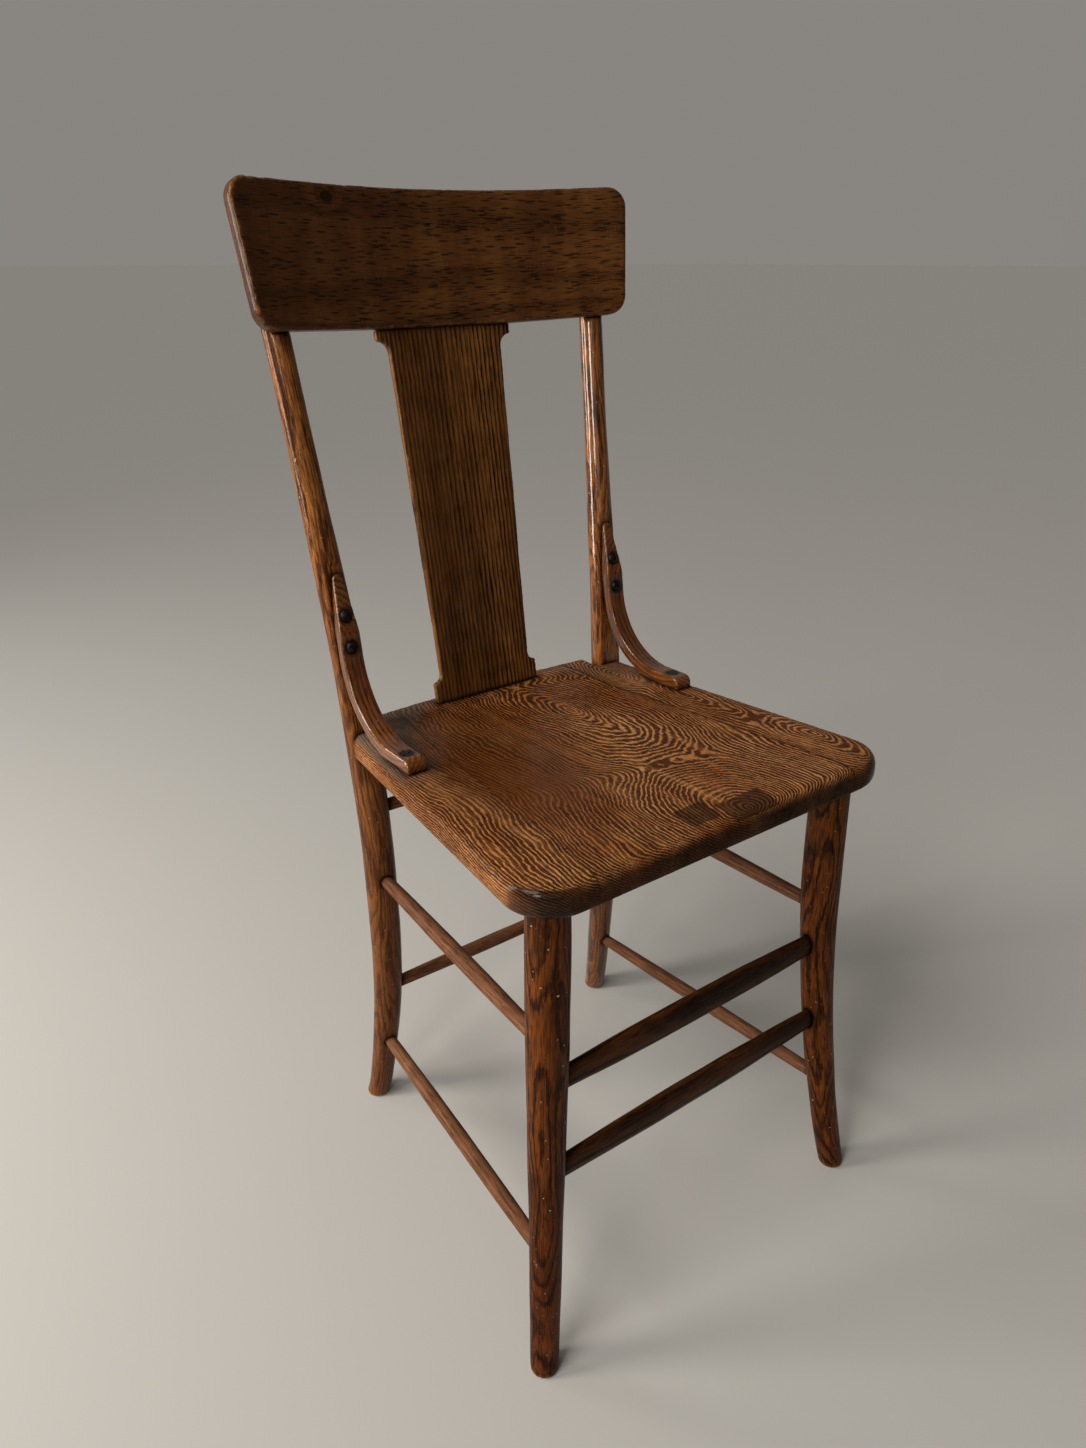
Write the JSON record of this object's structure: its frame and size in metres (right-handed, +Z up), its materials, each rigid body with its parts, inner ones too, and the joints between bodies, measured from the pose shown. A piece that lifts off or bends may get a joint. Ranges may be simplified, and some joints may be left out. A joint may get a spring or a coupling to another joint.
{
  "type": "high-back dining chair",
  "caption": "High-back wooden dining chair: curved crest rail on bent posts, flat coved splat, bent braces, dished solid seat, flared round legs joined by rung stretchers.",
  "frame": {"origin": "on the floor, in the middle of the chair's width and depth", "axes": "+Z up, the chair faces -Y, +X to the right of someone who looks at its front"},
  "size_m": [0.3886, 0.451, 0.9044],
  "materials": {
    "oak_seat": "worn varnish over raised grain",
    "oak_legs": "gloss varnish",
    "oak_braces": "gloss varnish",
    "oak_crest": "gloss varnish, scuffed",
    "oak_splat": "satin varnish",
    "oak_front_bars": "satin varnish, darkened",
    "oak_rods": "worn, nearly bare",
    "screw_iron": "blackened"
  },
  "bodies": {
    "root": {"seat_board_left": "oak_seat", "seat_board_centre": "oak_seat", "seat_board_right": "oak_seat", "front_leg_left": "oak_legs", "front_leg_right": "oak_legs", "back_post_left": "oak_legs", "back_post_right": "oak_legs", "brace_left": "oak_braces", "brace_right": "oak_braces", "crest_rail": "oak_crest", "splat": "oak_splat", "front_stretcher_upper": "oak_front_bars", "front_stretcher_lower": "oak_front_bars", "side_stretcher_left_upper": "oak_rods", "side_stretcher_left_lower": "oak_rods", "side_stretcher_right_upper": "oak_rods", "side_stretcher_right_lower": "oak_rods", "rear_stretcher_upper": "oak_rods", "rear_stretcher_lower": "oak_rods", "brace_post_screws": "screw_iron", "brace_seat_screws": "screw_iron", "post_seat_screws": "screw_iron", "post_crest_screws": "screw_iron"}
  },
  "joints": []
}
